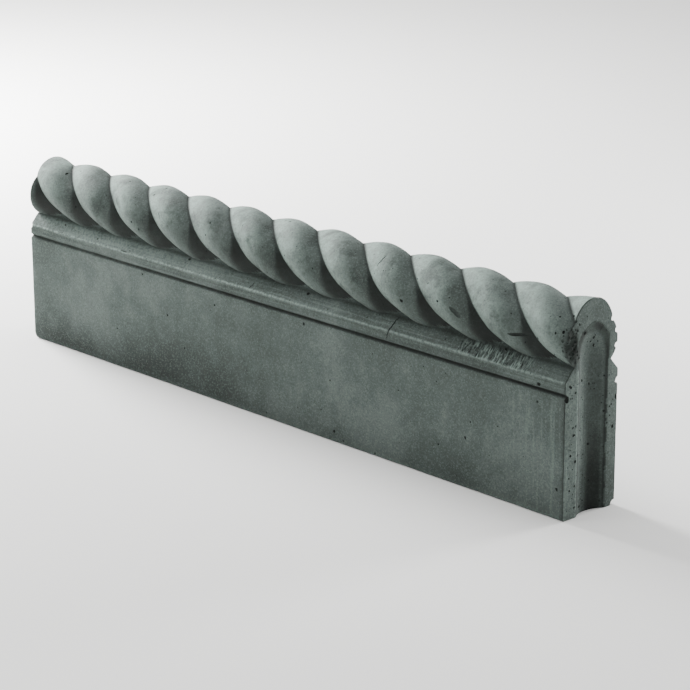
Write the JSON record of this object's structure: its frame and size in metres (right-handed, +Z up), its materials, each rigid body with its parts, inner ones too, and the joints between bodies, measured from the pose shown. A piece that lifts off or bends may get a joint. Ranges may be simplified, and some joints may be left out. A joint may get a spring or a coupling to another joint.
{
  "type": "rope-top concrete edging block",
  "caption": "Long precast concrete garden edging block with a rope moulding along its top, a sloping ledge and a joint groove and tongue in its ends.",
  "frame": {"origin": "middle of the underside, at the centre of the overall length and thickness", "axes": "+X along the block towards the end with the joint groove, -Y out of the front face, +Z up"},
  "size_m": [0.614, 0.052, 0.1524],
  "materials": {
    "cast_concrete": "precast charcoal concrete, matt, with small bug holes and worn arrises",
    "reinforcing_wire": "drawn steel wire with a thin rust bloom"
  },
  "bodies": {
    "root": {"concrete_casting": "cast_concrete", "line_wire_lower": "reinforcing_wire", "line_wire_upper": "reinforcing_wire", "cross_wire_1": "reinforcing_wire", "cross_wire_2": "reinforcing_wire", "cross_wire_3": "reinforcing_wire", "cross_wire_4": "reinforcing_wire"}
  },
  "joints": []
}
